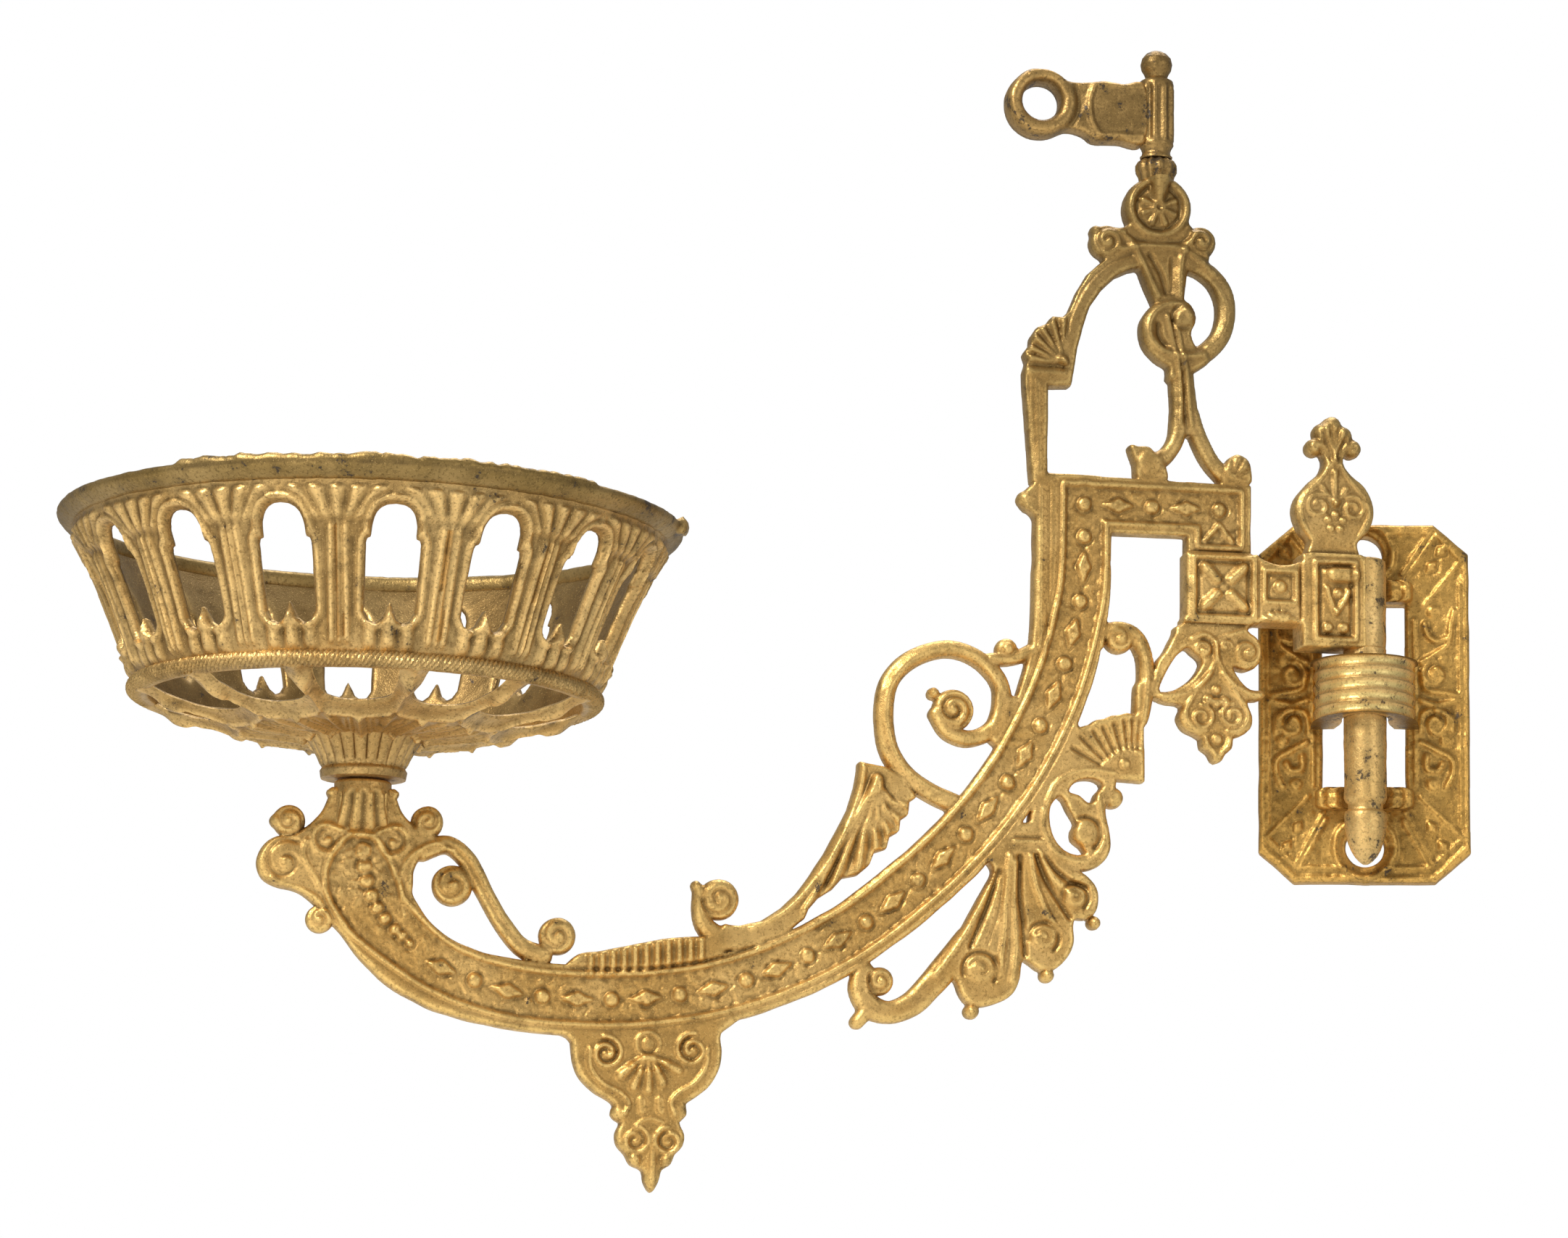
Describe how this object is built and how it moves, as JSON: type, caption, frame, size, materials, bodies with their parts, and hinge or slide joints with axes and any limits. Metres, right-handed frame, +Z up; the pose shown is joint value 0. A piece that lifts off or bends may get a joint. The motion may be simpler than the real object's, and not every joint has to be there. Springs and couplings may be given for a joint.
{
  "type": "swing-arm lamp bracket",
  "caption": "Gilt cast-iron swing-arm wall bracket with an openwork font cup, filigree arm, ornate wall plate and a turning reflector holder.",
  "frame": {"origin": "centre of the wall plate's back face, where the plate is screwed to the wall", "axes": "+Z up, +Y into the wall, -Y out into the room, and the arm folded towards -X"},
  "size_m": [0.3093, 0.1395, 0.2628],
  "materials": {
    "gilt_plate": "matte gold-bronze paint on rough cast iron, worn on the edges",
    "gilt_arm": "matte gold-bronze paint on rough cast iron, darker in the recesses",
    "gilt_cup": "matte gold-bronze paint on cast iron, worn to dark metal on the rim",
    "gilt_holder": "matte gold-bronze paint, tarnished darker",
    "dark_steel": "dark oiled steel"
  },
  "bodies": {
    "wall_bracket": {"wall_plate": "gilt_plate", "spindle_strap": "gilt_plate", "top_lug": "gilt_plate", "bottom_lug": "gilt_plate"},
    "arm": {"arm_head": "gilt_arm", "arm_neck": "gilt_arm", "head_scroll": "gilt_arm", "main_band": "gilt_arm", "reeded_strip": "gilt_arm", "hook_volute": "gilt_arm", "wing_leaf": "gilt_arm", "ring_scroll": "gilt_arm", "frame_post": "gilt_arm", "frame_rail": "gilt_arm", "flower_block": "gilt_arm", "link_neck": "gilt_arm", "hinge_block": "gilt_arm", "hinge_spindle": "gilt_arm", "palmette_finial": "gilt_arm", "block_pendant": "gilt_arm", "pendant_link": "gilt_arm", "stem_scroll": "gilt_arm", "pleated_fan": "gilt_arm", "loop_curl": "gilt_arm", "lower_palmette": "gilt_arm", "tail_scroll": "gilt_arm", "lower_pendant": "gilt_arm", "upper_strut": "gilt_arm", "upper_loop": "gilt_arm", "top_wheel": "gilt_arm", "pin_boss": "gilt_arm", "reflector_peg": "dark_steel", "cup_screw": "dark_steel"},
    "cup": {"cup_rim": "gilt_cup", "cup_arcade_1": "gilt_cup", "cup_arcade_2": "gilt_cup", "cup_arcade_3": "gilt_cup", "cup_arcade_4": "gilt_cup", "cup_rope_ring": "gilt_cup", "cup_bowl_1": "gilt_cup", "cup_bowl_2": "gilt_cup", "cup_bowl_3": "gilt_cup", "cup_bowl_4": "gilt_cup", "cup_collar": "gilt_cup"},
    "reflector_holder": {"reflector_barrel": "gilt_holder", "reflector_eye": "gilt_holder"}
  },
  "joints": [
    {"name": "arm_swing", "type": "hinge", "parent": "wall_bracket", "child": "arm", "pos_m": [0, -0.015, 0], "axis": [0, 0, 1], "range_deg": [0, 151]},
    {"name": "cup_swivel", "type": "hinge", "parent": "arm", "child": "cup", "pos_m": [-0.21687, -0.07108, -0.028], "axis": [0, 0, 1], "continuous": true},
    {"name": "reflector_swivel", "type": "hinge", "parent": "arm", "child": "reflector_holder", "pos_m": [-0.04695, -0.02714, 0.1216], "axis": [0, 0, 1], "continuous": true}
  ]
}
